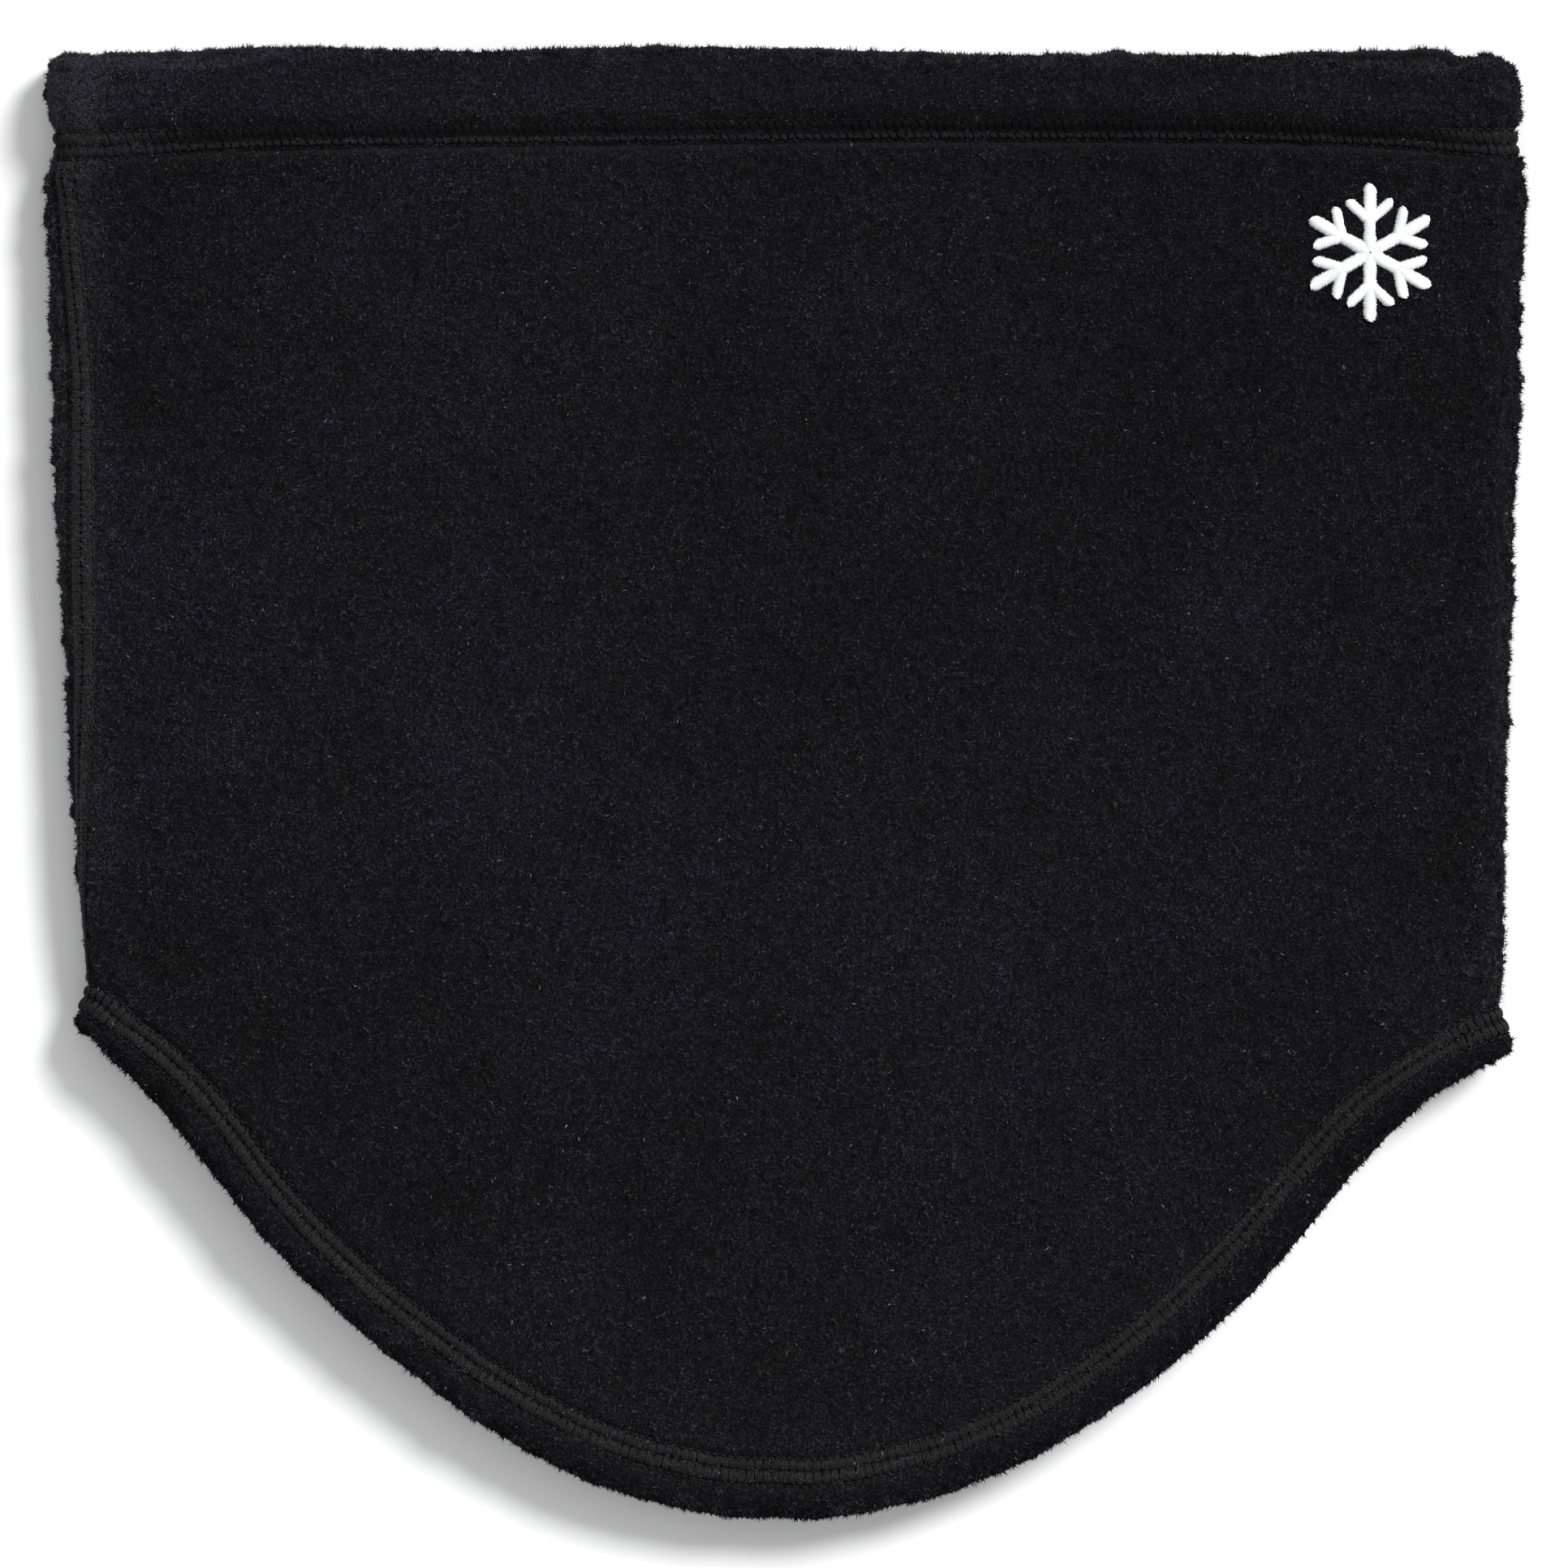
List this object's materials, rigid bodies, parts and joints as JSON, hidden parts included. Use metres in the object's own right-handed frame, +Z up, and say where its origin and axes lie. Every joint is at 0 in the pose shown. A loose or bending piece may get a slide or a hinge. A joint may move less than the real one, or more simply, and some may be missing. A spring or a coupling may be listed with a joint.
{
  "type": "neck gaiter",
  "caption": "Black fleece neck gaiter laid flat: a tube of two sewn panels with a turned chin hem and a bib-shaped lower hem.",
  "frame": {"origin": "middle of the laid outline, on the surface it lies on", "axes": "+X across the tube, +Y towards the chin hem, +Z up from the surface, through the front panel"},
  "size_m": [0.291, 0.29, 0.0146],
  "materials": {
    "fleece": "brushed polyester fleece, soft matt pile",
    "seam_thread": "matt textured polyester sewing thread",
    "embroidery_thread": "satin-stitched polyester thread, soft sheen",
    "stabiliser": "non-woven cut-away backing",
    "label_tape": "woven satin tape, blank"
  },
  "bodies": {
    "root": {"front_panel": "fleece", "back_panel": "fleece", "chin_hem_cover_stitch": "seam_thread", "chin_hem_inner_stitch": "seam_thread", "bib_hem_cover_stitch": "seam_thread", "bib_hem_inner_stitch": "seam_thread", "left_seam_flatlock_stitch": "seam_thread", "left_seam_inner_stitch": "seam_thread", "right_seam_flatlock_stitch": "seam_thread", "right_seam_inner_stitch": "seam_thread", "embroidered_mark": "embroidery_thread", "mark_backing": "stabiliser", "care_label": "label_tape", "care_label_tack": "seam_thread"}
  },
  "joints": []
}
